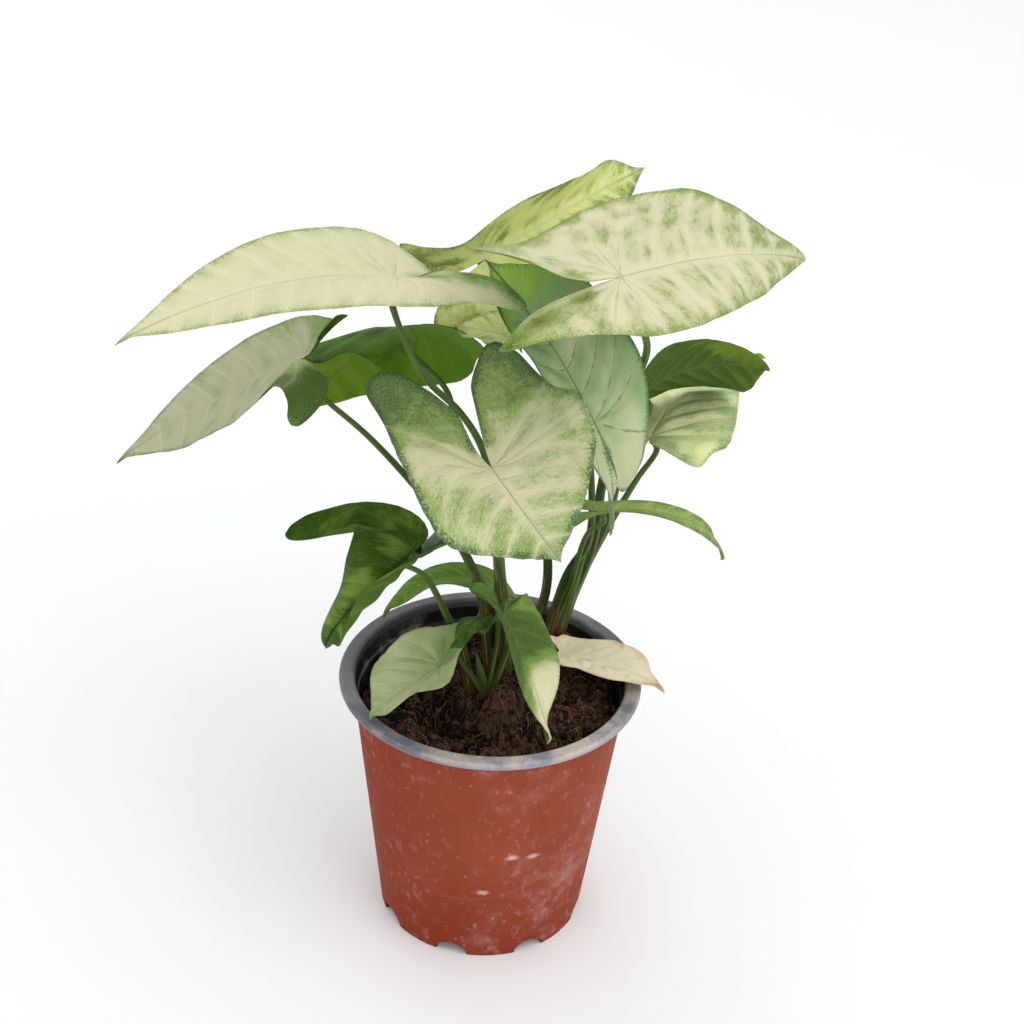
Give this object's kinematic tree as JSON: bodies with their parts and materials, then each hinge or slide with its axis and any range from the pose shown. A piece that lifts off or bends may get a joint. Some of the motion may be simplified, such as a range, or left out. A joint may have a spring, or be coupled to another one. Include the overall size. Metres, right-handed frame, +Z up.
{
  "type": "arrowhead plant in a nursery pot",
  "caption": "Potted arrowhead plant: variegated arrow-shaped leaves on long stalks, rooted in soil in a round plastic nursery pot with a rolled rim and notched foot.",
  "frame": {"origin": "centre of the pot's underside, on the surface it stands on", "axes": "+Z up, -Y to the front of the plant, +X to its right as seen from the front"},
  "size_m": [0.2668, 0.2408, 0.3063],
  "materials": {
    "pot": "dull, scuffed and dusty",
    "soil": "rough, fibrous coir",
    "stalk": "satin",
    "leaf": "satin, mottled cream and green",
    "dry_leaf": "dry, dull"
  },
  "bodies": {
    "root": {"pot": "pot", "soil": "soil", "stalks_centre": "stalk", "stalks_right": "stalk", "stalks_back": "stalk", "stalks_left": "stalk", "stalks_front": "stalk", "stalks_dry": "dry_leaf", "leaf_top_left": "leaf", "leaf_left": "leaf", "leaf_top_right": "leaf", "leaf_top_back": "leaf", "leaf_left_inner": "leaf", "leaf_upright": "leaf", "leaf_front": "leaf", "leaf_right_turned": "leaf", "leaf_right": "leaf", "leaf_right_narrow": "leaf", "leaf_left_curled": "leaf", "leaf_back_narrow": "leaf", "leaf_low_left": "leaf", "leaf_low_front": "leaf", "leaf_small_inner": "leaf", "leaf_small_low": "leaf", "leaf_dry": "dry_leaf"}
  },
  "joints": []
}
